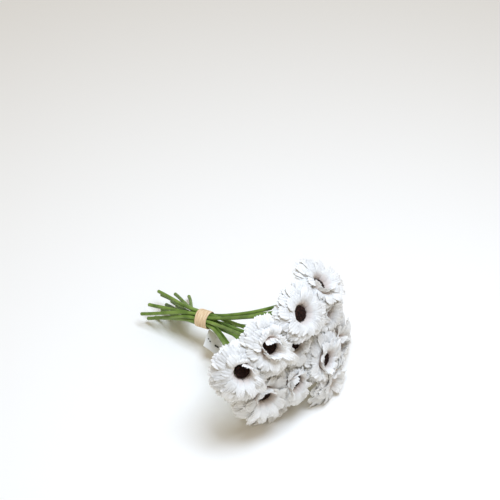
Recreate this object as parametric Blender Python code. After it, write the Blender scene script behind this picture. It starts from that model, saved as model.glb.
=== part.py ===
"""A tied bunch of twelve white double gerberas, lying on its side.

Sizes are in millimetres in this file and the scene is in metres, +Z up. The stems run along +X from
their cut ends to the blooms. The bunch lies on the surface z = 0, on two of its lower blooms and on
its lowest cut ends, and the origin is the middle of its outline on that surface.
"""
from collections import namedtuple
from math import cos, pi, radians, sin, tau, tanh
from random import Random

import bmesh
import bpy
from mathutils import Vector

MM = 0.001
GAP = 0.3

# The tie and the bundle of stems inside it
TIE_HEIGHT = 48.0
TIE_SLOPE = radians(6)
TIE_TURN = radians(12)
TIE_WIDTH = 15.0
TIE_WRAPS = 3
TIE_THICKNESS = 0.9
TIE_WRAP_BULGE = 0.6
TIE_SIDES = 18
STEM_RADIUS = 2.2
STEM_SIDES = 6
INNER_STEMS = 3
INNER_STEM_RING = 2.85
OUTER_STEMS = 9
OUTER_STEM_RING = 7.35
BUNDLE_RADIUS = OUTER_STEM_RING + STEM_RADIUS
TIE_INNER_RADIUS = BUNDLE_RADIUS + GAP

# The green cup (calyx) that ends each stem: radius, and height under the middle of the bloom
CUP_OUTLINE = [(2.6, -19.0), (4.8, -15.5), (7.6, -11.5), (8.2, -8.3)]

# The bloom. Heights run along the way it faces, from the level of its dark centre.
CORE_OUTLINE = [
    (0.0, -8.0), (8.5, -8.0), (12.5, -3.0), (15.0, 6.0), (13.2, 8.0), (9.6, 0.5), (9.3, -2.3), (0.0, -2.3),
]
CORE_SIDES = 10
CENTRE_RADIUS = 8.8
CENTRE_BOTTOM = -2.0
CENTRE_DOME = 2.6
CENTRE_SIDES = 8
BLADE_RIDGE = 1.3

# One ring of petals: how many, the line up the middle of a petal as (radius, height), the petal's
# width at each of those points, how far its tip point stands out, and how much petals differ
Layer = namedtuple("Layer", "count spine widths tip lift_spread turn")
LAYERS = [
    Layer(10, [(10.5, -4), (21, 0.5), (30.5, -1), (36, -8)], [5, 12, 15.5, 11], 2.5, 2.5, 0.0),
    Layer(10, [(11.5, 1.5), (20, 6.5), (28.5, 6), (34.5, 0)], [5, 11.5, 15, 10.5], 2.5, 2.5, 0.5),
    Layer(6, [(11.5, 4), (13.5, 9), (18.5, 12.5), (25, 12)], [5, 10, 13, 9], 2.0, 1.5, 0.25),
]

# One row per stem and bloom. The bloom's middle is seen from the middle of the tie at an azimuth
# and an elevation, in degrees, and at a reach. It faces straight out, but for a turn of its azimuth
# and elevation. The slot is the stem's place in the tied bundle, and the cut end is given from the
# middle of the tie.
Flower = namedtuple("Flower", "azimuth elevation reach turn slot cut_end")
FLOWERS = [
    Flower(-32.8, 23.2, 168, (0, 0), 5, (-79, -3, -45.8)),
    Flower(-18.7, 29.3, 168, (0, 0), 4, (-80, -15, -39)),
    Flower(2.4, 34.0, 169, (0, 0), 3, (-83, -23, -27)),
    Flower(23.2, 34.1, 168, (8, 14), 10, (-85, 16, -25)),
    Flower(-1.3, 21.5, 150, (-3, 3), 11, (-87, 13, -18)),
    Flower(9.8, 5.4, 163, (-7, 9), 2, (-74, 22, -34)),
    Flower(-6.8, 4.1, 154, (-4, 4), 0, (-86, -6, -26)),
    Flower(-23.3, 6.8, 156, (0, 0), 1, (-79, 17, -39)),
    Flower(20.2, 22.0, 157, (-22, 6), 9, (-78, 33, -32)),
    Flower(29.9, -5.5, 160, (-22, 14), 8, (-67, 46, -39)),
    Flower(-15.0, -8.0, 138, (0, 0), 6, (-79, 9, -42)),
    Flower(12.5, -8.0, 167, (0, 0), 7, (-72, 29, -45.8)),
]

# Petals that would meet a neighbouring bloom turn up within CROWD_DEPTH of the plane between them.
# The plane leans, so the bloom that stands out or up more lies over the other one.
CROWD_REACH = 80.0
CROWD_DEPTH = 6.0
CROWD_MARGIN = 1.4
CROWD_LIFT = 0.7
CROWD_LEAN = 0.45

# A petal ends where its neighbours leave it less than this share of its width, bring its points
# closer together than this, or turn it aside more (the cosine between one step and the next)
LEAST_WIDTH_SHARE = 0.5
LEAST_BLADE_STEP = 3.0
LEAST_ONWARD = 0.6

# The card tag: its corner lies at the tie, and it hangs below the bundle
TAG_LENGTH = 33.0
TAG_WIDTH = 21.0
TAG_THICKNESS = 0.7
TAG_CURL = 2.0
TAG_CORNER = Vector((9.94, -3.41, -8.27))
TAG_ALONG = Vector((0.80, 0.23, -0.42)).normalized()
TAG_ACROSS = Vector((0.17, -0.73, -0.66)).normalized()

BUNDLE_SIDE = Vector((-sin(TIE_TURN), cos(TIE_TURN), 0))
BUNDLE_AXIS = Vector((cos(TIE_SLOPE) * cos(TIE_TURN), cos(TIE_SLOPE) * sin(TIE_TURN), sin(TIE_SLOPE)))
BUNDLE_UP = BUNDLE_AXIS.cross(BUNDLE_SIDE)
TIE_MIDDLE = Vector((0, 0, TIE_HEIGHT))


# Objects and materials

def clear_scene():
    for item in list(bpy.data.objects):
        bpy.data.objects.remove(item, do_unlink=True)


def make_material(name, colour, roughness):
    material = bpy.data.materials.new(name)
    material.use_nodes = True
    shader = material.node_tree.nodes["Principled BSDF"]
    shader.inputs["Base Color"].default_value = (*colour, 1)
    shader.inputs["Roughness"].default_value = roughness
    material.diffuse_color = (*colour, 1)
    return material


def make_object(name, bm, material=None, smooth_angle=None):
    """Turn a bmesh in millimetres into an object in metres, with flat faces that point out."""
    bmesh.ops.recalc_face_normals(bm, faces=bm.faces)
    bmesh.ops.triangulate(bm, faces=bm.faces)
    bmesh.ops.scale(bm, vec=(MM, MM, MM), verts=bm.verts)
    mesh = bpy.data.meshes.new(name)
    bm.to_mesh(mesh)
    bm.free()
    if material:
        mesh.materials.append(material)
    if smooth_angle is not None:
        mesh.shade_smooth()
        mesh.set_sharp_from_angle(angle=smooth_angle)
    made = bpy.data.objects.new(name, mesh)
    bpy.context.scene.collection.objects.link(made)
    return made


def fuse(base, others):
    """Join closed objects into the first one with a single union, and remove the others."""
    group = bpy.data.collections.new(base.name + "_repeats")
    bpy.context.scene.collection.children.link(group)
    for other in others:
        group.objects.link(other)
    union = base.modifiers.new("union", "BOOLEAN")
    union.operation = "UNION"
    union.operand_type = "COLLECTION"
    union.collection = group
    union.solver = "MANIFOLD"
    bpy.context.view_layer.objects.active = base
    bpy.ops.object.modifier_apply(modifier=union.name)
    for other in others:
        bpy.data.objects.remove(other, do_unlink=True)
    bpy.data.collections.remove(group)
    keep_outer_shell(base.data)


def keep_outer_shell(mesh):
    """Fill hollows that the union sealed, and drop loose scraps, by keeping the largest shell."""
    bm = bmesh.new()
    bm.from_mesh(mesh)
    waiting = set(bm.faces)
    shells = []
    while waiting:
        shell = {waiting.pop()}
        edge_of_shell = list(shell)
        while edge_of_shell:
            face = edge_of_shell.pop()
            plain_edges = [edge for edge in face.edges if len(edge.link_faces) == 2]
            near = {other for edge in plain_edges for other in edge.link_faces} & waiting
            waiting -= near
            shell |= near
            edge_of_shell.extend(near)
        shells.append(shell)
    shells.sort(key=len)
    for shell in shells[:-1]:
        bmesh.ops.delete(bm, geom=list(shell), context="FACES")
    bm.to_mesh(mesh)
    bm.free()


def loft(bm, rings):
    """Join rings of points into one closed tube. A ring of one point closes an end."""
    made = [[bm.verts.new(point) for point in ring] for ring in rings]
    for ring, following in zip(made, made[1:]):
        count = max(len(ring), len(following))
        for k in range(count):
            after = (k + 1) % count
            if len(ring) == 1:
                bm.faces.new((ring[0], following[k], following[after]))
            elif len(following) == 1:
                bm.faces.new((ring[k], ring[after], following[0]))
            else:
                bm.faces.new((ring[k], ring[after], following[after], following[k]))
    for end in (made[0], made[-1]):
        if len(end) > 1:
            bm.faces.new(end)


def ring_points(middle, side, up, radius, sides, turn=0.0):
    angles = [turn + tau * k / sides for k in range(sides)]
    return [middle + side * radius * cos(a) + up * radius * sin(a) for a in angles]


# Places in the bunch

def direction(azimuth, elevation):
    a = radians(azimuth)
    e = radians(elevation)
    return Vector((cos(e) * cos(a), cos(e) * sin(a), sin(e)))


def bloom_frame(flower):
    """The middle of a bloom, and its side, up and facing directions."""
    middle = TIE_MIDDLE + direction(flower.azimuth, flower.elevation) * flower.reach
    facing = direction(flower.azimuth + flower.turn[0], flower.elevation + flower.turn[1])
    side = Vector((0, 0, 1)).cross(facing).normalized()
    return middle, side, facing.cross(side), facing


def bundle_slot(slot):
    """A stem's place across the tied bundle: three stems inside and nine round them."""
    if slot < INNER_STEMS:
        angle = pi / 2 + tau * slot / INNER_STEMS
        radius = INNER_STEM_RING
    else:
        outer = slot - INNER_STEMS
        angle = pi / 2 + tau * (outer + 0.5) / OUTER_STEMS
        radius = OUTER_STEM_RING
    return TIE_MIDDLE + (BUNDLE_SIDE * cos(angle) + BUNDLE_UP * sin(angle)) * radius


def bezier(start, start_handle, end_handle, end, steps):
    """Evenly stepped points of a cubic curve, both ends included."""
    points = []
    for k in range(steps + 1):
        t = k / steps
        s = 1 - t
        points.append(start * s**3 + start_handle * 3 * s * s * t
                      + end_handle * 3 * s * t * t + end * t**3)
    return points


def stem_route(flower):
    """The stem's middle line: cut end, straight through the tie, then out to the green cup."""
    slot = bundle_slot(flower.slot)
    half = BUNDLE_AXIS * (TIE_WIDTH / 2)
    cut = TIE_MIDDLE + Vector(flower.cut_end)
    before = slot - half
    tail = bezier(cut, cut + (before - cut) * 0.33, before - BUNDLE_AXIS * 20, before, 3)
    middle, _, _, facing = bloom_frame(flower)
    after = slot + half
    cup = middle + facing * CUP_OUTLINE[0][1]
    neck = bezier(after, after + BUNDLE_AXIS * 14, cup - facing * 45, cup, 5)
    return tail + neck


# Petals bent clear of their neighbours

def lies_over(flower, other):
    """Whether the first bloom stands out of the bunch, or up, more than the second."""
    stand = [item.reach * (1 + 0.1 * sin(radians(item.elevation))) for item in (flower, other)]
    return stand[0] > stand[1]


def crowding_planes(flower):
    """Planes that a bloom stays behind: the normal, its distance from the bloom, the way up it."""
    middle, _, _, facing = bloom_frame(flower)
    planes = []
    for other in FLOWERS:
        other_middle, _, _, other_facing = bloom_frame(other)
        away = other_middle - middle
        if other is flower or away.length > CROWD_REACH:
            continue
        outwards = (facing + other_facing).normalized()
        lean = away.normalized().dot(outwards)
        if abs(lean) < CROWD_LEAN:
            wanted = CROWD_LEAN if lies_over(other, flower) else -CROWD_LEAN
            normal = (away.normalized() + outwards * (wanted - lean)).normalized()
        else:
            normal = away.normalized()
        rise = (facing - normal * facing.dot(normal)).normalized()
        planes.append((normal, away.dot(normal) / 2 - CROWD_MARGIN, rise))
    return planes


def bend_clear(point, middle, planes):
    """Slow a point down as it nears each plane, and turn the lost length up along the plane."""
    moved = point - middle
    for normal, limit, rise in planes:
        start = limit - CROWD_DEPTH
        past = moved.dot(normal) - start
        if past > 0:
            kept = CROWD_DEPTH * tanh(past / CROWD_DEPTH)
            moved = moved - normal * (past - kept) + rise * (past - kept) * CROWD_LIFT
    for _ in range(4):
        for normal, limit, _ in planes:
            past = moved.dot(normal) - limit
            if past > 0:
                moved = moved - normal * past
    return middle + moved


def above_floor(point, height):
    """Keep a point at least this high over the surface that the bunch lies on."""
    return Vector((point.x, point.y, max(point.z, height)))


def has_room(left, right, across, width, middles):
    """Whether the neighbours leave a petal enough room at its next pair of edge points."""
    if (right - left).dot(across) < width * LEAST_WIDTH_SHARE:
        return False
    if not middles:
        return True
    step = (left + right) / 2 - middles[-1]
    if len(middles) == 1:
        return step.length > LEAST_BLADE_STEP
    onward = step.normalized().dot((middles[-1] - middles[-2]).normalized())
    return step.length > LEAST_BLADE_STEP and onward > LEAST_ONWARD


def petal_edges(layer, angle, lift, flower_frame, planes):
    """Pairs of edge points out along a petal, which ends early where it has too little room."""
    middle, side, up, facing = flower_frame
    outward = side * cos(angle) + up * sin(angle)
    across = up * cos(angle) - side * sin(angle)
    edges = []
    middles = []
    for k, ((radius, height), width) in enumerate(zip(layer.spine, layer.widths)):
        share = k / (len(layer.spine) - 1)
        spine = middle + outward * radius + facing * (height + lift * share)
        half = across * (width / 2)
        left, right = [above_floor(bend_clear(p, middle, planes), BLADE_RIDGE)
                       for p in (spine - half, spine + half)]
        if has_room(left, right, across, width, middles):
            edges.append((left, right))
            middles.append((left + right) / 2)
        elif len(edges) > 1:
            break
    return edges


def petal_blade(bm, edges, facing, tip):
    """One petal: a pleated blade with three sides, from its edge points to a pointed tip."""
    middles = [(left + right) / 2 for left, right in edges]
    normal = facing
    rows = []
    for k, (left, right) in enumerate(edges):
        ahead = middles[min(k + 1, len(edges) - 1)] - middles[max(k - 1, 0)]
        upright = (right - left).cross(ahead).normalized()
        normal = upright if upright.dot(normal) > 0 else -upright
        ridge = middles[k] + normal * BLADE_RIDGE
        if k == len(edges) - 1:
            ridge = ridge + ahead.normalized() * tip
        rows.append([bm.verts.new(p) for p in (left, above_floor(ridge, 0), right)])
    # The top and the underside are split along the same way, so that neither crosses the other
    for (left, ridge, right), (left_on, ridge_on, right_on) in zip(rows, rows[1:]):
        for corners in (
            (left, ridge, ridge_on), (left, ridge_on, left_on),
            (ridge, right, right_on), (ridge, right_on, ridge_on),
            (left, right_on, right), (left, left_on, right_on),
        ):
            bm.faces.new(corners)
    bm.faces.new(rows[0])
    bm.faces.new(rows[-1])


def make_petals(number, flower, material):
    """One bloom: a turned funnel-shaped core with its three rings of petals."""
    rng = Random(170 + number)
    frame = bloom_frame(flower)
    middle, side, up, facing = frame
    planes = crowding_planes(flower)
    bm = bmesh.new()
    rings = []
    for radius, height in CORE_OUTLINE:
        centre = middle + facing * height
        if radius:
            rings.append(ring_points(centre, side, up, radius, CORE_SIDES))
        else:
            rings.append([centre])
    loft(bm, rings)
    core = make_object(f"petals_{number:02d}", bm, material)
    blades = []
    for layer in LAYERS:
        for k in range(layer.count):
            wobble = rng.uniform(-0.12, 0.12)
            angle = tau * (k + layer.turn + wobble) / layer.count
            lift = rng.uniform(-1, 1) * layer.lift_spread
            edges = petal_edges(layer, angle, lift, frame, planes)
            if len(edges) > 1:
                bm = bmesh.new()
                petal_blade(bm, edges, facing, layer.tip)
                blades.append(make_object("petal", bm))
    fuse(core, blades)
    core.data.shade_smooth()
    core.data.set_sharp_from_angle(angle=radians(40))
    return core


# Centres, stems, tie and tag

def make_centre(number, flower, material):
    """The dark centre: a low dome whose raised and sunk points stand for its florets."""
    rng = Random(200 + number)
    middle, side, up, facing = bloom_frame(flower)
    rings = [[middle + facing * CENTRE_BOTTOM]]
    levels = [(1.0, CENTRE_BOTTOM), (1.0, 0.3), (0.72, 0.72), (0.36, 0.95)]
    for k, (share, height) in enumerate(levels):
        level = height if k < 1 else height * CENTRE_DOME
        centre = middle + facing * level
        ring = ring_points(centre, side, up, CENTRE_RADIUS * share, CENTRE_SIDES, 0.3 * k)
        if k > 1:
            ring = [point + facing * rng.choice((-0.35, 0.35)) for point in ring]
        rings.append(ring)
    rings.append([middle + facing * CENTRE_DOME])
    bm = bmesh.new()
    loft(bm, rings)
    return make_object(f"flower_centre_{number:02d}", bm, material, radians(30))


def make_stem(number, flower, material):
    """One stem with a rounded cut end, which widens into the green cup under its bloom."""
    middle, _, _, facing = bloom_frame(flower)
    route = stem_route(flower)
    rings = []
    for k, point in enumerate(route):
        ahead = (route[min(k + 1, len(route) - 1)] - route[max(k - 1, 0)]).normalized()
        across = (BUNDLE_SIDE - ahead * BUNDLE_SIDE.dot(ahead)).normalized()
        if k == 0:
            nose = point - ahead * STEM_RADIUS * 0.6
            rings.append(ring_points(nose, across, ahead.cross(across),
                                     STEM_RADIUS * 0.55, STEM_SIDES, pi / 6))
        rings.append(ring_points(point, across, ahead.cross(across),
                                 STEM_RADIUS, STEM_SIDES, pi / 6))
    for radius, height in CUP_OUTLINE[1:]:
        across = (BUNDLE_SIDE - facing * BUNDLE_SIDE.dot(facing)).normalized()
        rings.append(ring_points(middle + facing * height, across, facing.cross(across),
                                 radius, STEM_SIDES, pi / 6))
    bm = bmesh.new()
    loft(bm, rings)
    return make_object(f"stem_{number:02d}", bm, material, radians(50))


def make_tie(material):
    """The tie: a band of raffia, its outside rounded by each of its wraps."""
    half = TIE_WIDTH / 2
    outline = [(-half + 0.4, TIE_INNER_RADIUS), (half - 0.4, TIE_INNER_RADIUS)]
    outer = TIE_INNER_RADIUS + TIE_THICKNESS
    steps = TIE_WRAPS * 2
    for k in range(steps + 1):
        along = half - TIE_WIDTH * k / steps
        outline.append((along, outer + (TIE_WRAP_BULGE if k % 2 else 0)))
    bm = bmesh.new()
    loops = []
    for along, radius in outline:
        centre = TIE_MIDDLE + BUNDLE_AXIS * along
        points = ring_points(centre, BUNDLE_SIDE, BUNDLE_UP, radius, TIE_SIDES)
        loops.append([bm.verts.new(point) for point in points])
    for k, loop in enumerate(loops):
        following = loops[(k + 1) % len(loops)]
        for j in range(TIE_SIDES):
            after = (j + 1) % TIE_SIDES
            bm.faces.new((loop[j], loop[after], following[after], following[j]))
    return make_object("raffia_tie", bm, material, radians(30))


def make_tag(material):
    """The tag: a thin, slightly curled card with one corner at the tie."""
    normal = TAG_ALONG.cross(TAG_ACROSS).normalized()
    steps = 4
    rings = []
    for k in range(steps + 1):
        share = k / steps
        curl = normal * TAG_CURL * share * share
        start = TIE_MIDDLE + TAG_CORNER + TAG_ALONG * TAG_LENGTH * share + curl
        far = start + TAG_ACROSS * TAG_WIDTH
        back = normal * TAG_THICKNESS
        rings.append([start, far, far + back, start + back])
    bm = bmesh.new()
    loft(bm, rings)
    return make_object("card_tag", bm, material)


def stand_at_origin(objects):
    """Put the middle of the bunch's outline over the origin, under one empty."""
    corners = [item.matrix_world @ Vector(c) for item in objects for c in item.bound_box]
    middle_x = (min(c.x for c in corners) + max(c.x for c in corners)) / 2
    middle_y = (min(c.y for c in corners) + max(c.y for c in corners)) / 2
    bunch = bpy.data.objects.new("bunch", None)
    bpy.context.scene.collection.objects.link(bunch)
    for item in objects:
        item.parent = bunch
    bunch.location = (-middle_x, -middle_y, 0)


def main():
    clear_scene()
    made = []
    for number, flower in enumerate(FLOWERS, 1):
        white = make_material(f"petals_{number:02d}", (0.90, 0.90, 0.88), 0.75)
        brown = make_material(f"flower_centre_{number:02d}", (0.035, 0.018, 0.012), 0.95)
        green = make_material(f"stem_{number:02d}", (0.16, 0.27, 0.06), 0.55)
        made.append(make_petals(number, flower, white))
        made.append(make_centre(number, flower, brown))
        made.append(make_stem(number, flower, green))
    made.append(make_tie(make_material("raffia_tie", (0.62, 0.47, 0.29), 0.8)))
    made.append(make_tag(make_material("card_tag", (0.74, 0.72, 0.68), 0.7)))
    bpy.context.view_layer.update()
    stand_at_origin(made)


main()
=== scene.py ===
"""A tied bunch of white double gerberas with cloth petals, lying on its side.

Sizes are in millimetres, and every finished mesh is scaled to metres. Places are worked out from
the middle of the tie, which the frame gives.
"""
from collections import namedtuple
from math import cos, pi, radians, sin, sqrt, tanh, tau
from random import Random

import bmesh
import bpy
from mathutils import Matrix, Vector, noise


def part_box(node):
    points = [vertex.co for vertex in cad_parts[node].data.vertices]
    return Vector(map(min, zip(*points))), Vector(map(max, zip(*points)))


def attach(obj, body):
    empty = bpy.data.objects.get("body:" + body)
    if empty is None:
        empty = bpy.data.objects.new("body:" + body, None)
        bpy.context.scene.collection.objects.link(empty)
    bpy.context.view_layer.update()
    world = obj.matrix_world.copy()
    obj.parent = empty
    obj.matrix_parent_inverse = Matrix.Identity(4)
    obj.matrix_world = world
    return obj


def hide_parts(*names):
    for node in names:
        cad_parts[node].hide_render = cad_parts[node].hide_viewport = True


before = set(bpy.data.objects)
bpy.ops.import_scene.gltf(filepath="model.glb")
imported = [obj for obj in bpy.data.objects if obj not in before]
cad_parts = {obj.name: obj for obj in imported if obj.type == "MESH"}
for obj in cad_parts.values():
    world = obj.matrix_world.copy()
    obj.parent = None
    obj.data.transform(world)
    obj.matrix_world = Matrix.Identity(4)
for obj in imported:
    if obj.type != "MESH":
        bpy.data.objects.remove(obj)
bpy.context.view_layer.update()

# The view. The photograph looks down on the bunch from its front right, from some way off, so the
# lens is a long one. The middle of the tie is at one known place in the photograph.
MM = 0.001
PHOTO_SIDE = 500
TIE_IN_PHOTO = (204.6, 318.9)
PIXELS_PER_MM = 0.83
VIEW_AZIMUTH = radians(39.9)
VIEW_ELEVATION = radians(42.8)
LENS = 120.0
SENSOR = 36.0
CLIP_END = 20000.0

tie_low, tie_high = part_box("raffia_tie")
TIE_MIDDLE = (Vector(tie_low) + Vector(tie_high)) / (2 * MM)
view_right = Vector((cos(VIEW_AZIMUTH), sin(VIEW_AZIMUTH), 0))
view_back = Vector((sin(VIEW_AZIMUTH) * cos(VIEW_ELEVATION),
                    -cos(VIEW_AZIMUTH) * cos(VIEW_ELEVATION), sin(VIEW_ELEVATION)))
view_up = view_back.cross(view_right)
distance = LENS / SENSOR * PHOTO_SIDE / PIXELS_PER_MM
tie_right, tie_below = [(place - PHOTO_SIDE / 2) / PIXELS_PER_MM for place in TIE_IN_PHOTO]
eye = TIE_MIDDLE + view_back * distance - view_right * tie_right + view_up * tie_below

camera_data = bpy.data.cameras.new("camera")
camera_data.lens = LENS
camera_data.sensor_width = SENSOR
camera_data.clip_end = CLIP_END * MM
camera = bpy.data.objects.new("camera", camera_data)
bpy.context.scene.collection.objects.link(camera)
looking = Matrix((view_right, view_up, view_back)).transposed().to_4x4()
camera.matrix_world = Matrix.Translation(eye * MM) @ looking
bpy.context.scene.camera = camera

# The floor and the light: a plain pale sheet, one wide soft lamp nearly overhead, slightly cool,
# and a warmer light from the room.
FLOOR_SIDE = 6000.0
FLOOR_COLOUR = "#FAF8F3"
KEY_FROM = Vector((286.0, -39.0, 1261.0))
KEY_SIDE = 600.0
KEY_POWER = 16.6
KEY_COLOUR = "#DAE9FF"
ROOM_COLOUR = "#FFF1DA"
ROOM_STRENGTH = 0.46


def linear(hex_colour):
    """An sRGB hex colour as linear red, green, blue and alpha."""
    channels = [int(hex_colour[k:k + 2], 16) / 255 for k in (1, 3, 5)]
    return (*(c / 12.92 if c <= 0.04045 else ((c + 0.055) / 1.055) ** 2.4 for c in channels), 1.0)


def new_material(name):
    """An empty material, its node tree and its Principled shader."""
    material = bpy.data.materials.new(name)
    material.use_nodes = True
    tree = material.node_tree
    return material, tree, tree.nodes["Principled BSDF"]


def finished(name, bm, material, smooth_angle=60):
    """Turn a bmesh in millimetres into an object in metres, smooth but for its sharp edges."""
    bmesh.ops.scale(bm, vec=(MM, MM, MM), verts=bm.verts)
    mesh = bpy.data.meshes.new(name)
    bm.to_mesh(mesh)
    bm.free()
    mesh.materials.append(material)
    mesh.shade_smooth()
    mesh.set_sharp_from_angle(angle=radians(smooth_angle))
    piece = bpy.data.objects.new(name, mesh)
    bpy.context.scene.collection.objects.link(piece)
    return piece


def soft_lamp(name, place, side, power, colour):
    """A square lamp that faces the bunch."""
    lamp = bpy.data.lights.new(name, "AREA")
    lamp.size = side * MM
    lamp.energy = power
    lamp.color = linear(colour)[:3]
    made = bpy.data.objects.new(name, lamp)
    bpy.context.scene.collection.objects.link(made)
    made.location = place * MM
    made.rotation_euler = (-place).to_track_quat("-Z", "Y").to_euler()


# The sheet is matte, so it shows soft shadows and no reflections.
sheet, tree, shader = new_material("matte_pale_sheet")
shader.inputs["Base Color"].default_value = linear(FLOOR_COLOUR)
shader.inputs["Roughness"].default_value = 0.95

bm = bmesh.new()
bmesh.ops.create_grid(bm, x_segments=1, y_segments=1, size=FLOOR_SIDE / 2)
floor = finished("floor", bm, sheet)
soft_lamp("key_lamp", KEY_FROM, KEY_SIDE, KEY_POWER, KEY_COLOUR)
world = bpy.data.worlds.new("room")
world.use_nodes = True
world.node_tree.nodes["Background"].inputs["Color"].default_value = linear(ROOM_COLOUR)
world.node_tree.nodes["Background"].inputs["Strength"].default_value = ROOM_STRENGTH
bpy.context.scene.world = world
bpy.context.scene.view_settings.view_transform = "Standard"

# The stems: moulded green polyethylene over a wire, straight through the tie and bent out to their
# blooms. Each ends in a moulded green cup, the calyx, with pointed sepals that hold the petals.
TIE_SLOPE = radians(6)
TIE_TURN = radians(12)
TIE_WIDTH = 15.0
BUNDLE_SIDE = Vector((-sin(TIE_TURN), cos(TIE_TURN), 0))
BUNDLE_AXIS = Vector((cos(TIE_SLOPE) * cos(TIE_TURN), cos(TIE_SLOPE) * sin(TIE_TURN),
                      sin(TIE_SLOPE)))
BUNDLE_UP = BUNDLE_AXIS.cross(BUNDLE_SIDE)
INNER_STEMS = 3
INNER_STEM_RING = 2.85
OUTER_STEMS = 9
OUTER_STEM_RING = 7.35
STEM_GREEN = "#6E883B"
STEM_DARK = "#526B2A"
STEM_YELLOW = "#8BA450"

# A stem is a little thicker and thinner by turns. Its tail runs from the cut end towards the tie,
# and bends into the line of the bundle. Its neck leaves along that line and comes to its cup from
# behind.
STEM_RADIUS = 2.2
STEM_SIDES = 14
STEM_SWELLING = 0.035
STEM_SWELLING_TURN = 0.9
TAIL_STEPS = 10
TAIL_START = 0.33
TAIL_END = 20.0
NECK_STEPS = 22
NECK_START = 14.0
NECK_END = 45.0

# The rounding of a cut end, in stem radii: how far past the end, and the radius there
CUT_ROUNDING = [(0.65, 0.55), (0.5, 0.85), (0.2, 1.0)]

# The cup: its radius, and the height along the way that the bloom faces
CUP_FOOT = -19.0
CUP_OUTLINE = [(2.9, -18.4), (4.6, -16.2), (6.6, -13.4), (7.9, -10.6), (8.3, -8.4)]

# A sepal starts at a radius and a height on the cup, and narrows to a point as it rises and arches
SEPALS = 10
SEPAL_FOOT = (7.7, -10.9)
SEPAL_LENGTH = 8.075
SEPAL_RISE = 5.1
SEPAL_ARCH = 0.6
SEPAL_HALF_WIDTH = 2.3
SEPAL_TAPER = 0.7
SEPAL_POINT = 0.15
SEPAL_THICKNESS = 0.5

# One row per stem and bloom. The bloom's middle is seen from the middle of the tie at an azimuth
# and an elevation, in degrees, and at a reach. It faces straight out, but for a turn of its azimuth
# and elevation. The slot is the stem's place in the tied bundle, and the cut end is given from the
# middle of the tie. The frill is where a bloom's petals are longest and most ruffled, as an angle
# round the bloom and a strength. At each rim the petals close over the dark centre: the angle, how
# far they close, and the cosine from that angle at which they start to.
Flower = namedtuple("Flower", "azimuth elevation reach turn slot cut_end frill rims")
FLOWERS = [
    Flower(-32.8, 23.2, 168, (0, 0), 5, (-79, -3, -45.8), (-70, 1.0), [(40, 0.8, 0.3)]),
    Flower(-18.7, 29.3, 168, (0, 0), 4, (-80, -15, -39), (-50, 1.0),
           [(50, 0.9, 0.1), (230, 0.8, 0.1)]),
    Flower(2.4, 34.0, 169, (0, 0), 3, (-83, -23, -27), (-60, 0.5), []),
    Flower(23.2, 34.1, 168, (8, 14), 10, (-85, 16, -25), (-70, 0.8), [(206, 0.72, 0.1)]),
    Flower(-1.3, 21.5, 150, (-3, 3), 11, (-87, 13, -18), (0, 0.0),
           [(0, 0.6, 0.1), (142, 0.5, 0.3)]),
    Flower(9.8, 5.4, 163, (-7, 9), 2, (-74, 22, -34), (-110, 0.9), [(190, 0.6, 0.0)]),
    Flower(-6.8, 4.1, 154, (-4, 4), 0, (-86, -6, -26), (165, 1.0), [(128, 0.5, 0.1)]),
    Flower(-23.3, 6.8, 156, (0, 0), 1, (-79, 17, -39), (-100, 1.0), [(90, 0.75, 0.0)]),
    Flower(20.2, 22.0, 157, (-22, 6), 9, (-78, 33, -32), (0, 0.2), [(145, 1.0, -0.5)]),
    Flower(29.9, -5.5, 160, (-22, 14), 8, (-67, 46, -39), (80, 0.6), [(0, 0.8, -0.5)]),
    Flower(-15.0, -8.0, 138, (0, 0), 6, (-79, 9, -42), (-90, 1.0), [(0, 0.5, -0.5)]),
    Flower(12.5, -8.0, 167, (0, 0), 7, (-72, 29, -45.8), (-60, 1.0), [(0, 0.5, -0.5)]),
]


def direction(azimuth, elevation):
    """The unit vector at an azimuth and an elevation, in degrees."""
    a = radians(azimuth)
    e = radians(elevation)
    return Vector((cos(e) * cos(a), cos(e) * sin(a), sin(e)))


def bloom_frame(flower):
    """The middle of a bloom, and its side, up and facing directions."""
    middle = TIE_MIDDLE + direction(flower.azimuth, flower.elevation) * flower.reach
    facing = direction(flower.azimuth + flower.turn[0], flower.elevation + flower.turn[1])
    side = Vector((0, 0, 1)).cross(facing).normalized()
    return middle, side, facing.cross(side), facing


def bundle_slot(slot):
    """A stem's place across the tied bundle: three stems inside and nine round them."""
    if slot < INNER_STEMS:
        angle = pi / 2 + tau * slot / INNER_STEMS
        radius = INNER_STEM_RING
    else:
        angle = pi / 2 + tau * (slot - INNER_STEMS + 0.5) / OUTER_STEMS
        radius = OUTER_STEM_RING
    return TIE_MIDDLE + (BUNDLE_SIDE * cos(angle) + BUNDLE_UP * sin(angle)) * radius


def bezier(handles, t):
    """The point of a cubic curve at a share of its way."""
    s = 1 - t
    weights = (s**3, 3 * s * s * t, 3 * s * t * t, t**3)
    point = handles[0] * weights[0]
    for handle, weight in zip(handles[1:], weights[1:]):
        point = point + handle * weight
    return point


def curve(handles, steps):
    """Evenly spaced points of a cubic curve, both ends included."""
    return [bezier(handles, k / steps) for k in range(steps + 1)]


def stem_route(flower):
    """The stem's middle line: cut end, straight through the tie, then out to the green cup."""
    slot = bundle_slot(flower.slot)
    half = BUNDLE_AXIS * (TIE_WIDTH / 2)
    cut = TIE_MIDDLE + Vector(flower.cut_end)
    before = slot - half
    tail = [cut, cut + (before - cut) * TAIL_START, before - BUNDLE_AXIS * TAIL_END, before]
    middle, _, _, facing = bloom_frame(flower)
    after = slot + half
    cup = middle + facing * CUP_FOOT
    neck = [after, after + BUNDLE_AXIS * NECK_START, cup - facing * NECK_END, cup]
    return curve(tail, TAIL_STEPS) + curve(neck, NECK_STEPS)


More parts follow.
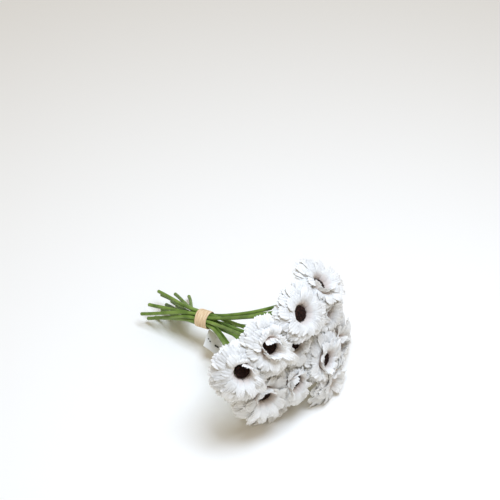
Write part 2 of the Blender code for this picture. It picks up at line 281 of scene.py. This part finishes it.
def ring_place(point, side, up, ahead):
    """The matrix that puts a unit circle at a point, with its size in the two side vectors."""
    return Matrix.Translation(point) @ Matrix((side, up, ahead)).transposed().to_4x4()


def sweep(bm, places, sides):
    """Extrude a unit circle from place to place, and close both ends."""
    ring = bmesh.ops.create_circle(bm, cap_ends=True, segments=sides, radius=1.0)["verts"]
    bmesh.ops.transform(bm, matrix=places[0], verts=ring)
    edges = list(dict.fromkeys(edge for vert in ring for edge in vert.link_edges))
    for place, following in zip(places, places[1:]):
        made = bmesh.ops.extrude_edge_only(bm, edges=edges)["geom"]
        ring = [item for item in made if isinstance(item, bmesh.types.BMVert)]
        edges = [item for item in made if isinstance(item, bmesh.types.BMEdge)
                 and all(vert in ring for vert in item.verts)]
        bmesh.ops.transform(bm, matrix=following @ place.inverted(), verts=ring)
    bmesh.ops.edgeloop_fill(bm, edges=edges)


def sepal(bm, middle, outward, across, facing):
    """A pointed sepal, which lies on the backs of the petals from the rim of the cup."""
    made = bmesh.ops.create_grid(bm, x_segments=4, y_segments=5, size=1.0)["verts"]
    for vert in made:
        t = vert.co.x
        s = (vert.co.y + 1) / 2
        half = SEPAL_HALF_WIDTH * (1 - s) ** SEPAL_TAPER + SEPAL_POINT
        radius = SEPAL_FOOT[0] + SEPAL_LENGTH * s
        height = SEPAL_FOOT[1] + SEPAL_RISE * s - SEPAL_ARCH * t * t
        vert.co = middle + outward * radius + across * half * t + facing * height
    faces = list(dict.fromkeys(face for vert in made for face in vert.link_faces))
    bmesh.ops.solidify(bm, geom=faces, thickness=SEPAL_THICKNESS)


def stem_piece(number, flower, material):
    """One stem, its cup and its sepals."""
    middle, side, up, facing = bloom_frame(flower)
    route = stem_route(flower)
    places = []
    for k, point in enumerate(route):
        ahead = (route[min(k + 1, len(route) - 1)] - route[max(k - 1, 0)]).normalized()
        across = (BUNDLE_SIDE - ahead * BUNDLE_SIDE.dot(ahead)).normalized()
        above = ahead.cross(across)
        if k == 0:
            for back, share in CUT_ROUNDING:
                nose = point - ahead * (back * STEM_RADIUS)
                size = STEM_RADIUS * share
                places.append(ring_place(nose, across * size, above * size, ahead))
        radius = STEM_RADIUS * (1 + STEM_SWELLING * sin(STEM_SWELLING_TURN * k + number))
        places.append(ring_place(point, across * radius, above * radius, ahead))
    across = (BUNDLE_SIDE - facing * BUNDLE_SIDE.dot(facing)).normalized()
    above = facing.cross(across)
    for radius, height in CUP_OUTLINE:
        places.append(ring_place(middle + facing * height, across * radius, above * radius,
                                 facing))
    bm = bmesh.new()
    sweep(bm, places, STEM_SIDES)
    for k in range(SEPALS):
        angle = tau * k / SEPALS
        outward = side * cos(angle) + up * sin(angle)
        sepal(bm, middle, outward, up * cos(angle) - side * sin(angle), facing)
    bmesh.ops.recalc_face_normals(bm, faces=bm.faces)
    return finished(f"stem_{number:02d}_moulded", bm, material, smooth_angle=50)


def add_node(tree, kind, settings=None, inputs=None):
    """Add a shader node with its settings. An input is a value, or the socket it is linked from."""
    node = tree.nodes.new(kind)
    for name, value in (settings or {}).items():
        setattr(node, name, value)
    for name, value in (inputs or {}).items():
        if isinstance(value, bpy.types.NodeSocket):
            tree.links.new(value, node.inputs[name])
        else:
            node.inputs[name].default_value = value
    return node


# Moulded polyethylene is satin: a soft long highlight, with faint yellow and dark blotches as long
# as a fingertip. The mould's grain is drawn 1.1 mm apart, coarser than it is, so that it shows.
STEM_BLOTCH = 18.2
STEM_GRAIN = 1.11
plastic, tree, shader = new_material("moulded_green_polyethylene")
place = add_node(tree, "ShaderNodeTexCoord").outputs["Object"]
blotch = add_node(tree, "ShaderNodeTexNoise", inputs={
    "Vector": place, "Scale": 1 / (STEM_BLOTCH * MM), "Detail": 3.0})
ramp = add_node(tree, "ShaderNodeValToRGB", inputs={"Fac": blotch.outputs["Fac"]})
ramp.color_ramp.elements[0].position = 0.3
ramp.color_ramp.elements[0].color = linear(STEM_DARK)
ramp.color_ramp.elements[1].position = 0.72
ramp.color_ramp.elements[1].color = linear(STEM_YELLOW)
ramp.color_ramp.elements.new(0.5).color = linear(STEM_GREEN)
grain = add_node(tree, "ShaderNodeTexNoise", inputs={
    "Vector": place, "Scale": 1 / (STEM_GRAIN * MM), "Detail": 2.0})
bump = add_node(tree, "ShaderNodeBump", inputs={
    "Height": grain.outputs["Fac"], "Strength": 0.12, "Distance": 0.3 * MM})
tree.links.new(ramp.outputs["Color"], shader.inputs["Base Color"])
tree.links.new(bump.outputs["Normal"], shader.inputs["Normal"])
shader.inputs["Roughness"].default_value = 0.45
shader.inputs["IOR"].default_value = 1.5
shader.inputs["Specular IOR Level"].default_value = 0.3

for number, flower in enumerate(FLOWERS, 1):
    stem = stem_piece(number, flower, plastic)
    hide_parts(f"stem_{number:02d}")
    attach(stem, "root")

# The dark centres: a low dome of flocked foam, set all over with short stiff tufts in the spiral of
# a daisy's florets. Each is pressed into the funnel of its bloom.
CENTRE_OUTLINE = [(8.6, -2.0), (8.7, 0.4), (7.6, 1.5), (5.4, 2.1), (2.8, 2.4)]
CENTRE_SIDES = 24
CENTRE_BLACK = "#170C09"
CENTRE_BROWN = "#4A2D22"

# The tufts: where they stand, how high, how much they lean outwards, and how long they are for
# their width. The pairs are the least and the most of what differs from tuft to tuft.
CENTRE_SEED = 400
CENTRE_TUFTS = 150
GOLDEN_ANGLE = 2.39996
TUFT_SPREAD = 8.3
TUFT_TOP = 2.5
TUFT_FALL = 1.9
TUFT_RADIUS = 0.62
TUFT_STRETCH = 1.7
TUFT_LEAN = 0.5
TUFT_TURNS = (-0.1, 0.1)
TUFT_HEIGHTS = (-0.25, 0.45)
TUFT_SIZES = (0.75, 1.15)


def centre_piece(number, flower, material):
    """The dome, spun round the way that the bloom faces, with its tufts."""
    rng = Random(CENTRE_SEED + number)
    middle, side, up, facing = bloom_frame(flower)
    bm = bmesh.new()
    outline = [bm.verts.new(middle + side * radius + facing * height)
               for radius, height in CENTRE_OUTLINE]
    edges = [bm.edges.new(pair) for pair in zip(outline, outline[1:])]
    bmesh.ops.spin(bm, geom=outline + edges, cent=middle, axis=facing, angle=tau,
                   steps=CENTRE_SIDES, use_merge=True)
    bmesh.ops.holes_fill(bm, edges=bm.edges, sides=CENTRE_SIDES)
    for k in range(CENTRE_TUFTS):
        share = sqrt((k + 0.5) / CENTRE_TUFTS)
        angle = k * GOLDEN_ANGLE + rng.uniform(*TUFT_TURNS)
        height = TUFT_TOP - TUFT_FALL * share**3 + rng.uniform(*TUFT_HEIGHTS)
        outward = side * cos(angle) + up * sin(angle)
        point = middle + outward * (TUFT_SPREAD * share) + facing * height
        size = TUFT_RADIUS * rng.uniform(*TUFT_SIZES)
        leant = (facing + outward * (TUFT_LEAN * share)).normalized()
        put = Matrix.Translation(point) @ leant.to_track_quat("Z", "Y").to_matrix().to_4x4()
        put = put @ Matrix.Diagonal((size, size, size * TUFT_STRETCH, 1))
        bmesh.ops.create_icosphere(bm, subdivisions=1, radius=1.0, matrix=put)
    bmesh.ops.recalc_face_normals(bm, faces=bm.faces)
    return finished(f"flower_centre_{number:02d}_flocked", bm, material, smooth_angle=80)


# Flock is very matte and almost black, with brown where a tuft's tip catches the light. The brown
# specks are as wide as a tuft, and one finer still would be lost.
FLOCK_SPECK = 1.61
flock, tree, shader = new_material("brown_flocked_foam")
place = add_node(tree, "ShaderNodeTexCoord").outputs["Object"]
speck = add_node(tree, "ShaderNodeTexNoise", inputs={
    "Vector": place, "Scale": 1 / (FLOCK_SPECK * MM), "Detail": 2.0})
ramp = add_node(tree, "ShaderNodeValToRGB", inputs={"Fac": speck.outputs["Fac"]})
ramp.color_ramp.elements[0].position = 0.42
ramp.color_ramp.elements[0].color = linear(CENTRE_BLACK)
ramp.color_ramp.elements[1].position = 0.72
ramp.color_ramp.elements[1].color = linear(CENTRE_BROWN)
tree.links.new(ramp.outputs["Color"], shader.inputs["Base Color"])
shader.inputs["Roughness"].default_value = 0.95
shader.inputs["Specular IOR Level"].default_value = 0.25

for number, flower in enumerate(FLOWERS, 1):
    centre = centre_piece(number, flower, flock)
    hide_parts(f"flower_centre_{number:02d}")
    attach(centre, "root")

# The petals: white polyester cloth, die cut with small round teeth and pressed hot into pleats,
# then threaded over the stem in rings. The long rings droop, and the short ones stand round the
# centre.
PETAL_FOOT = 9.5
PETAL_THICKNESS = 0.28
PETAL_COLUMNS = 20
PETAL_ROWS = 9
PETAL_TEETH = 5
TOOTH_LENGTH = 1.5
PLEAT_DEPTH = 0.65
PETAL_WHITE = "#FAF9F5"
# Painted shade: a cream for the shadow at the foot of each petal, deep in the funnel round the
# centre
PAINTED_FUNNEL_SHADE = "#ECD9CC"
PETAL_SHADE = "#F6F4EF"

# A ring gives its count of petals, the line up the middle of a petal as the handles of a cubic
# curve (radius, height), its half width, how far the ring is turned, how much its petals differ in
# height and in length, how far they close at a rim, and how far they stand up at a frill.
PetalRing = namedtuple("PetalRing", "count spine half_width turn lift spread close stand")
PETAL_RINGS = [
    PetalRing(15, [(9.5, -8), (20, -1), (31, 2), (39, -7)], 8.8, 0.0, 1.0, 0.04, 0.0, 0.0),
    PetalRing(14, [(9.6, -6), (18, 3), (30, 5), (38, -4.8)], 8.8, 0.5, 1.2, 0.05, 0.0, 0.3),
    PetalRing(13, [(9.6, -4), (14, 6.5), (26, 8.5), (36, -1.5)], 8.4, 0.2, 1.5, 0.07, 0.35, 1.0),
    PetalRing(11, [(9.5, -2.5), (11.5, 8), (18, 11.5), (29, 4.5)], 7.8, 0.7, 2.0, 0.12, 1.0, 1.0),
]

# The line of a petal that is quite closed over the centre, and how gently a rim begins
CLOSED_SPINE = [(9.3, -2.5), (9.6, 6.0), (8.5, 12.0), (4.5, 15.5)]
RIM_SOFTNESS = 0.7

# At a bloom's frill the petals are longer and differ more, with longer teeth and rounder ends. A
# ring that stands is bent up there, its petals narrower and curled. A drooping one is bent down.
FRILL_EDGES = (0.1, 0.9)
FRILL_LENGTH = 0.08
FRILL_SPREAD = 0.08
FRILL_TEETH = 0.6
FRILL_ROUND = 0.22
FRILL_RISE = 9.0
FRILL_DROP = 8.0
FRILL_NARROW = 0.3
FRILL_CURL = -1.0

# The least and the most of what differs from petal to petal
PETAL_SEED = 600
FRILL_SHARES = (0.5, 1.2)
PETAL_TURNS = (-0.12, 0.12)
PETAL_WIDTHS = (0.92, 1.08)
PETAL_ROLLS = (0.04, 0.20)
PETAL_CUPS = (-0.8, 1.4)
PETAL_SWAYS = (-1.6, 1.6)
PETAL_CURLS = (-1.2, 1.8)
TEETH_SHIFTS = (-0.07, 0.07)
NOISE_PLACES = (0, 90)

# A petal widens from its foot until four fifths of the way up. It is stiff at its foot and loose
# from there on, with broad ruffles and a finer crumpling at its end. A sharp edge isn't smoothed.
FOOT_WIDTH = 0.30
WIDE_FROM = 0.8
SHARP_EDGE = 75
END_ROUND = 0.2
LOOSE = (0.25, 0.75)
CURLED = (0.5, 1.1)
RUFFLE_DEPTH = 2.2
RUFFLES = (1.2, 1.8)
CRUMPLE_DEPTH = 1.4
CRUMPLES = (3.2, 4.0)
CRUMPLE_LAYER = 7
SPINE_STEP = 0.02

# Blooms within a reach of each other meet at a plane that leans, so that the one that stands out or
# up more lies over the other. Petals overlap there, get shorter, stop softly and turn up or down.
CROWD_REACH = 80.0
CROWD_LEAN = 0.45
CROWD_OVERLAP = 6.0
CROWD_DEPTH = 7.0
CROWD_TURN = 7.0
LEAST_ROOM = 0.4
UPPER_LEAD = 0.1


def lies_over(flower, other):
    """Whether the first bloom stands out of the bunch, or up, more than the second."""
    stand = [item.reach * (1 + UPPER_LEAD * sin(radians(item.elevation)))
             for item in (flower, other)]
    return stand[0] > stand[1]


def crowding_planes(flower):
    """Planes that a bloom stays behind: the normal, its distance from the bloom, and which way the
    petals turn there, 1 up over the neighbour or -1 down under it."""
    middle, _, _, facing = bloom_frame(flower)
    planes = []
    for other in FLOWERS:
        other_middle, _, _, other_facing = bloom_frame(other)
        away = other_middle - middle
        if other is flower or away.length > CROWD_REACH:
            continue
        outwards = (facing + other_facing).normalized()
        lean = away.normalized().dot(outwards)
        over = -1 if lies_over(other, flower) else 1
        if abs(lean) < CROWD_LEAN:
            normal = (away.normalized() - outwards * (over * CROWD_LEAN + lean)).normalized()
        else:
            normal = away.normalized()
            over = -1 if lean > 0 else 1
        planes.append((normal, away.dot(normal) / 2 + over * CROWD_OVERLAP, over))
    return planes


def room_for(planes, foot, tip):
    """The share of a petal's length that its neighbours leave, and how far it turns up or down."""
    share = 1.0
    turn = 0.0
    for normal, limit, over in planes:
        past = tip.dot(normal) - limit
        if past > 0:
            left = max(1 - past / max((tip - foot).dot(normal), 1.0), LEAST_ROOM)
            if left < share:
                share = left
                turn = over * (1 - left) * CROWD_TURN
    return share, turn


def hold_back(point, planes):
    """Stop a point softly a little past each plane."""
    for normal, limit, _ in planes:
        past = point.dot(normal) - limit
        if past > 0:
            point = point - normal * (past - CROWD_DEPTH * tanh(past / CROWD_DEPTH))
    return point


def ease(low, high, value):
    """A share that eases from 0 to 1 as a value goes from low to high."""
    share = min(max((value - low) / (high - low), 0.0), 1.0)
    return share * share * (3 - 2 * share)


def closing(rims, angle):
    """How far a petal at an angle closes over the centre, by the rim that closes it most."""
    return max([share * ease(end, end + RIM_SOFTNESS, cos(angle - radians(side)))
                for side, share, end in rims], default=0.0)


def petal_spine(ring, planes, outward, facing, stretch, lift, closed, frilled):
    """The line up the middle of one petal, as handles (radius, height)."""
    handles = [Vector(ring.spine[0])]
    for radius, height in ring.spine[1:]:
        share = (radius - PETAL_FOOT) / (ring.spine[-1][0] - PETAL_FOOT)
        long = PETAL_FOOT + (radius - PETAL_FOOT) * stretch
        handles.append(Vector((long, height + lift * share)))
    handles = [handle.lerp(Vector(place), closed)
               for handle, place in zip(handles, CLOSED_SPINE)]
    foot, tip = [outward * handle.x + facing * handle.y for handle in (handles[0], handles[-1])]
    room, turn = room_for(planes, foot, tip)
    bend = FRILL_RISE * ring.stand - FRILL_DROP * (1 - ring.stand)
    for k in (1, 2, 3):
        handles[k].x = PETAL_FOOT + (handles[k].x - PETAL_FOOT) * room
        handles[k].y += (turn + bend * frilled) * (k / 3) ** 2
    return handles


def petal(bm, axes, planes, ring, angle, stretch, lift, closed, frilled, rng):
    """One petal: a grid bent along its spine, with a toothed end, pleats and a roll to one side."""
    middle, side, up, facing = axes
    outward = side * cos(angle) + up * sin(angle)
    across = up * cos(angle) - side * sin(angle)
    handles = petal_spine(ring, planes, outward, facing, stretch, lift, closed, frilled)
    half_width = ring.half_width * rng.uniform(*PETAL_WIDTHS)
    half_width *= 1 - FRILL_NARROW * frilled * ring.stand
    roll = rng.uniform(*PETAL_ROLLS)
    cup = rng.uniform(*PETAL_CUPS)
    sway = rng.uniform(*PETAL_SWAYS)
    curl = rng.uniform(*PETAL_CURLS) + FRILL_CURL * frilled * ring.stand
    teeth_shift = rng.uniform(*TEETH_SHIFTS)
    tooth_share = TOOTH_LENGTH * (1 + FRILL_TEETH * frilled) / (handles[3] - handles[0]).length
    seed = Vector([rng.uniform(*NOISE_PLACES) for _ in range(3)])
    made = bmesh.ops.create_grid(bm, x_segments=PETAL_COLUMNS, y_segments=PETAL_ROWS, size=1.0,
                                 calc_uvs=True)["verts"]
    for vert in made:
        t = vert.co.x
        s = (vert.co.y + 1) / 2
        tooth = abs(cos(PETAL_TEETH * pi / 2 * (t + teeth_shift)))
        rounding = (END_ROUND + FRILL_ROUND * frilled) * abs(t) ** 3
        q = s * (1 - rounding - tooth_share * (1 - tooth))
        on_spine = bezier(handles, q)
        ahead = (bezier(handles, min(q + SPINE_STEP, 1.0))
                 - bezier(handles, max(q - SPINE_STEP, 0.0))).normalized()
        widening = sin(min(q / WIDE_FROM, 1.0) * pi / 2)
        half = half_width * (FOOT_WIDTH + (1 - FOOT_WIDTH) * widening)
        loose = ease(*LOOSE, q)
        above = PLEAT_DEPTH * (tooth * tooth - 0.5) * loose
        ruffle = noise.noise(Vector((t * RUFFLES[0], q * RUFFLES[1], 0)) + seed)
        above += ruffle * RUFFLE_DEPTH * q * q
        crumple = noise.noise(Vector((t * CRUMPLES[0], q * CRUMPLES[1], CRUMPLE_LAYER)) + seed)
        above += crumple * CRUMPLE_DEPTH * q**3
        above += (cup * t * t + roll * t * half) * loose + curl * ease(*CURLED, q)
        radius = on_spine.x - ahead.y * above
        height = on_spine.y + ahead.x * above
        place = outward * radius + facing * height + across * (t * half + sway * q * q)
        place = middle + hold_back(place, planes)
        place.z = max(place.z, PETAL_THICKNESS)
        vert.co = place


def bloom_piece(number, flower, material):
    """All the petals of one bloom, from the lowest ring up."""
    rng = Random(PETAL_SEED + number)
    axes = bloom_frame(flower)
    planes = crowding_planes(flower)
    frill_side, frill = flower.frill
    bm = bmesh.new()
    bm.loops.layers.uv.new("petal")
    for ring in PETAL_RINGS:
        for k in range(ring.count):
            angle = tau * (k + ring.turn + rng.uniform(*PETAL_TURNS)) / ring.count
            towards = cos(angle - radians(frill_side))
            frilled = frill * ease(*FRILL_EDGES, towards) * rng.uniform(*FRILL_SHARES)
            stretch = 1 + rng.uniform(-1, 1) * (ring.spread + FRILL_SPREAD * frilled)
            stretch *= 1 + FRILL_LENGTH * frill * towards
            closed = ring.close * closing(flower.rims, angle)
            lift = rng.uniform(-1, 1) * ring.lift
            petal(bm, axes, planes, ring, angle, stretch, lift, closed, frilled, rng)
    piece = finished(f"petals_{number:02d}_cloth", bm, material)
    wall = piece.modifiers.new("cloth", "SOLIDIFY")
    wall.thickness = PETAL_THICKNESS * MM
    bpy.context.view_layer.objects.active = piece
    bpy.ops.object.modifier_apply(modifier=wall.name)
    piece.data.set_sharp_from_angle(angle=radians(SHARP_EDGE))
    return piece


# Pressed polyester is matte and a little fuzzy, and lets some light through. The cream towards
# the foot of each petal is painted shade, for the shadow deep in the funnel round the centre. Its
# ribs are 0.7 mm apart, 26 across a petal. The weave is drawn 0.7 mm apart too, coarser than the
# real 0.15 mm, which would be lost.
RIBS = (26.0, 2.5)
WEAVE_PITCH = 0.667
CLOTH_BLOTCH = 16.7
cloth, tree, shader = new_material("pressed_white_polyester")
place = add_node(tree, "ShaderNodeTexCoord").outputs["Object"]
uv = add_node(tree, "ShaderNodeUVMap", {"uv_map": "petal"}).outputs["UV"]
along = add_node(tree, "ShaderNodeSeparateXYZ", inputs={"Vector": uv}).outputs["Y"]
blotch = add_node(tree, "ShaderNodeTexNoise", inputs={
    "Vector": place, "Scale": 1 / (CLOTH_BLOTCH * MM), "Detail": 3.0})
# Painted shade: each petal runs from cream at its foot to white by half its length, for the
# funnel's shadow
past_funnel_shade = add_node(tree, "ShaderNodeMapRange", inputs={
    "Value": along, "From Min": 0.12, "From Max": 0.5})
# A Mix node takes its two colours at sockets 6 and 7 and gives the result at socket 2
white = add_node(tree, "ShaderNodeMix", {"data_type": "RGBA"}, {"Factor": blotch.outputs["Fac"]})
white.inputs[6].default_value = linear(PETAL_SHADE)
white.inputs[7].default_value = linear(PETAL_WHITE)
colour = add_node(tree, "ShaderNodeMix", {"data_type": "RGBA"},
                  {"Factor": past_funnel_shade.outputs["Result"]})
colour.inputs[6].default_value = linear(PAINTED_FUNNEL_SHADE)
tree.links.new(white.outputs[2], colour.inputs[7])
rib_place = add_node(tree, "ShaderNodeMapping", inputs={"Vector": uv, "Scale": (*RIBS, 1.0)})
ribs = add_node(tree, "ShaderNodeTexNoise", inputs={
    "Vector": rib_place.outputs["Vector"], "Scale": 1.0, "Detail": 3.0})
rib_bump = add_node(tree, "ShaderNodeBump", inputs={
    "Height": ribs.outputs["Fac"], "Strength": 0.4, "Distance": 0.6 * MM})
weave = add_node(tree, "ShaderNodeTexNoise", inputs={
    "Vector": place, "Scale": 1 / (WEAVE_PITCH * MM), "Detail": 1.0})
weave_bump = add_node(tree, "ShaderNodeBump", inputs={
    "Height": weave.outputs["Fac"], "Strength": 0.12, "Distance": 0.2 * MM,
    "Normal": rib_bump.outputs["Normal"]})
tree.links.new(colour.outputs[2], shader.inputs["Base Color"])
tree.links.new(weave_bump.outputs["Normal"], shader.inputs["Normal"])
shader.inputs["Roughness"].default_value = 0.85
shader.inputs["Specular IOR Level"].default_value = 0.3
shader.inputs["Subsurface Weight"].default_value = 0.5
shader.inputs["Subsurface Radius"].default_value = (1.0, 1.0, 1.0)
shader.inputs["Subsurface Scale"].default_value = 2.5 * MM
shader.inputs["Sheen Weight"].default_value = 0.1
shader.inputs["Sheen Roughness"].default_value = 0.5

for number, flower in enumerate(FLOWERS, 1):
    bloom = bloom_piece(number, flower, cloth)
    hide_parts(f"petals_{number:02d}")
    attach(bloom, "root")

# The tie: strips of dried raffia wound round the stems, each a little folded and slanted, over a
# first tight band. Their ends are tucked under.
TIE_BAND = [(-6.9, 9.85), (6.9, 9.85), (7.1, 10.4), (6.4, 10.75), (-6.4, 10.75), (-7.1, 10.4)]
TIE_SIDES = 36
STRAW = "#E9CCA4"
STRAW_LIGHT = "#F3DDBA"
STRAW_DARK = "#C29C70"

# A strip lies at a radius, lifted but for the tucked share at each end, and stays inside the edge.
# The pairs are the least and the most of what differs from strip to strip.
STRIP_SEED = 77
STRIPS = 9
STRIP_TURNS = 1.12
STRIP_STEPS = 44
STRIP_SIDES = 10
STRIP_FIELD = 12.0
STRIP_EDGE = 6.6
STRIP_RADIUS = 10.35
STRIP_LIFT = 0.62
STRIP_TUCK = 1 / 8
STRIP_HALF_THICKNESS = 0.26
STRIP_HALF_WIDTHS = (1.3, 1.9)
STRIP_SHIFTS = (-0.5, 0.5)
STRIP_SLANTS = (-1.6, 1.6)

# How a strip wavers along its way: by how much, how often, and its place in the noise
ALONG_WAVER = (0.9, 4, 3.1, 0)
LIFT_WAVER = (0.22, 7, 5.3, 4)
FOLD_WAVER = (0.35, 5, 2.7, 9)


def waver(share, strip, size, often, apart, layer):
    """A smooth change along a strip, which differs from strip to strip."""
    return size * noise.noise(Vector((share * often, strip * apart, layer)))


def tie_piece(material):
    """The band, spun round the bundle, and the strips swept over it."""
    rng = Random(STRIP_SEED)
    bm = bmesh.new()
    outline = [bm.verts.new(TIE_MIDDLE + BUNDLE_AXIS * along + BUNDLE_UP * radius)
               for along, radius in TIE_BAND]
    edges = [bm.edges.new(pair) for pair in zip(outline, outline[1:] + outline[:1])]
    bmesh.ops.spin(bm, geom=outline + edges, cent=TIE_MIDDLE, axis=BUNDLE_AXIS, angle=tau,
                   steps=TIE_SIDES, use_merge=True)
    for strip in range(STRIPS):
        start = rng.uniform(0, tau)
        home = STRIP_FIELD * (strip / (STRIPS - 1) - 0.5) + rng.uniform(*STRIP_SHIFTS)
        slant = rng.uniform(*STRIP_SLANTS)
        width = rng.uniform(*STRIP_HALF_WIDTHS)
        places = []
        for k in range(STRIP_STEPS + 1):
            share = k / STRIP_STEPS
            angle = start + tau * STRIP_TURNS * share
            along = home + slant * (share - 0.5) + waver(share, strip, *ALONG_WAVER)
            along = max(-STRIP_EDGE, min(STRIP_EDGE, along))
            lifted = min(1.0, share / STRIP_TUCK, (1 - share) / STRIP_TUCK)
            radius = STRIP_RADIUS + STRIP_LIFT * lifted + waver(share, strip, *LIFT_WAVER)
            outward = BUNDLE_SIDE * cos(angle) + BUNDLE_UP * sin(angle)
            ahead = BUNDLE_UP * cos(angle) - BUNDLE_SIDE * sin(angle)
            flat = (BUNDLE_AXIS + outward * waver(share, strip, *FOLD_WAVER)).normalized()
            thick = ahead.cross(flat) * STRIP_HALF_THICKNESS
            places.append(ring_place(TIE_MIDDLE + BUNDLE_AXIS * along + outward * radius,
                                     flat * width, thick, ahead))
        sweep(bm, places, STRIP_SIDES)
    bmesh.ops.recalc_face_normals(bm, faces=bm.faces)
    return finished("raffia_tie_strips", bm, material)


# Raffia is a dry leaf: matte, with long fine fibres along the strip, paler and darker by turns.
# They are drawn 0.7 mm wide, coarser than the real 0.2 mm, so that they show.
FIBRE_WIDTH = 0.667
FIBRE_LENGTH = 11.1
raffia, tree, shader = new_material("dried_raffia")
place = add_node(tree, "ShaderNodeTexCoord").outputs["Object"]
level = add_node(tree, "ShaderNodeMapping", {"vector_type": "TEXTURE"}, {
    "Vector": place, "Rotation": (0.0, -TIE_SLOPE, TIE_TURN),
    "Scale": (FIBRE_WIDTH * MM, FIBRE_LENGTH * MM, FIBRE_LENGTH * MM)})
fibre = add_node(tree, "ShaderNodeTexNoise", inputs={
    "Vector": level.outputs["Vector"], "Scale": 1.0, "Detail": 3.0})
ramp = add_node(tree, "ShaderNodeValToRGB", inputs={"Fac": fibre.outputs["Fac"]})
ramp.color_ramp.elements[0].position = 0.28
ramp.color_ramp.elements[0].color = linear(STRAW_DARK)
ramp.color_ramp.elements[1].position = 0.7
ramp.color_ramp.elements[1].color = linear(STRAW_LIGHT)
ramp.color_ramp.elements.new(0.5).color = linear(STRAW)
bump = add_node(tree, "ShaderNodeBump", inputs={
    "Height": fibre.outputs["Fac"], "Strength": 0.5, "Distance": 0.4 * MM})
tree.links.new(ramp.outputs["Color"], shader.inputs["Base Color"])
tree.links.new(bump.outputs["Normal"], shader.inputs["Normal"])
shader.inputs["Roughness"].default_value = 0.75

tie = tie_piece(raffia)
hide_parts("raffia_tie")
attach(tie, "root")

# The tag: a cut strip of uncoated card, a little curled, with one corner held at the edge of the
# tie. It hangs below the stems.
TAG_LENGTH = 33.0
TAG_WIDTH = 21.0
TAG_THICKNESS = 0.45
TAG_COLUMNS = 16
TAG_ROWS = 8
TAG_CURL = 2.0
TAG_BOW = 0.5
TAG_CORNER = Vector((9.94, -3.41, -8.27))
TAG_ALONG = Vector((0.80, 0.23, -0.42)).normalized()
TAG_ACROSS = Vector((0.17, -0.73, -0.66)).normalized()
TAG_BACK = TAG_ALONG.cross(TAG_ACROSS).normalized()
CARD_GREY = "#ECEAE6"


def card_point(along, over, rise):
    """A place on the front of the card, or over it, by its way along and across from a corner."""
    share = along / TAG_LENGTH
    curl = TAG_CURL * share * share + TAG_BOW * sin(over / TAG_WIDTH * pi) * share
    on_sheet = TIE_MIDDLE + TAG_CORNER + TAG_ALONG * along + TAG_ACROSS * over
    return on_sheet + TAG_BACK * (curl - rise)


def tag_piece(material):
    """The card: a grid laid along the tag and curled, then given its thickness."""
    bm = bmesh.new()
    made = bmesh.ops.create_grid(bm, x_segments=TAG_COLUMNS, y_segments=TAG_ROWS,
                                 size=1.0)["verts"]
    for vert in made:
        along = (vert.co.x + 1) / 2 * TAG_LENGTH
        over = (vert.co.y + 1) / 2 * TAG_WIDTH
        vert.co = card_point(along, over, -TAG_THICKNESS)
    bmesh.ops.solidify(bm, geom=bm.faces[:], thickness=TAG_THICKNESS)
    bmesh.ops.recalc_face_normals(bm, faces=bm.faces)
    return finished("card_tag_blank", bm, material, smooth_angle=40)


# Uncoated card is matte and pale grey, with a faint unevenness of its pulp every 2.5 mm.
CARD_PULP = 2.5
card, tree, shader = new_material("uncoated_card")
place = add_node(tree, "ShaderNodeTexCoord").outputs["Object"]
pulp = add_node(tree, "ShaderNodeTexNoise", inputs={
    "Vector": place, "Scale": 1 / (CARD_PULP * MM), "Detail": 4.0})
bump = add_node(tree, "ShaderNodeBump", inputs={
    "Height": pulp.outputs["Fac"], "Strength": 0.2, "Distance": 0.2 * MM})
tree.links.new(bump.outputs["Normal"], shader.inputs["Normal"])
shader.inputs["Base Color"].default_value = linear(CARD_GREY)
shader.inputs["Roughness"].default_value = 0.8

tag = tag_piece(card)
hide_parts("card_tag")
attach(tag, "root")

# The print on the tag: plain dots and a ring in one coat of dark ink. It stands a hair over the
# card. A dot gives its place along and across the card, and its two half widths.
PRINT_DOTS = [(3.4, 10.4, 1.1, 0.7), (6.4, 11.8, 1.2, 0.8), (14.8, 12.4, 1.5, 1.2),
              (17.4, 12.2, 1.9, 1.0)]
PRINT_RING = (22.0, 12.0)
PRINT_RING_RADII = (1.0, 1.6)
PRINT_SIDES = 20
INK_RISE = 0.06
INK_THICKNESS = 0.04
INK = "#2A2826"


def marks_piece(material):
    """The print: a thin disc for each dot and a ring, laid on the curled card."""
    bm = bmesh.new()
    for along, over, long, wide in PRINT_DOTS:
        put = Matrix.Translation((along, over, 0)) @ Matrix.Diagonal((long, wide, 1, 1))
        bmesh.ops.create_circle(bm, cap_ends=True, segments=PRINT_SIDES, radius=1.0, matrix=put)
    put = Matrix.Translation((*PRINT_RING, 0))
    loops = [bmesh.ops.create_circle(bm, segments=PRINT_SIDES, radius=radius, matrix=put)["verts"]
             for radius in PRINT_RING_RADII]
    edges = list(dict.fromkeys(edge for loop in loops for vert in loop for edge in vert.link_edges))
    bmesh.ops.bridge_loops(bm, edges=edges)
    for vert in bm.verts:
        vert.co = card_point(vert.co.x, vert.co.y, INK_RISE)
    bmesh.ops.recalc_face_normals(bm, faces=bm.faces)
    bmesh.ops.solidify(bm, geom=bm.faces[:], thickness=INK_THICKNESS)
    bmesh.ops.recalc_face_normals(bm, faces=bm.faces)
    return finished("tag_marks_printed", bm, material, smooth_angle=40)


# Flat ink is even and dark, a little less matte than the card.
ink, tree, shader = new_material("flat_printed_ink")
shader.inputs["Base Color"].default_value = linear(INK)
shader.inputs["Roughness"].default_value = 0.6

marks = marks_piece(ink)
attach(marks, "root")
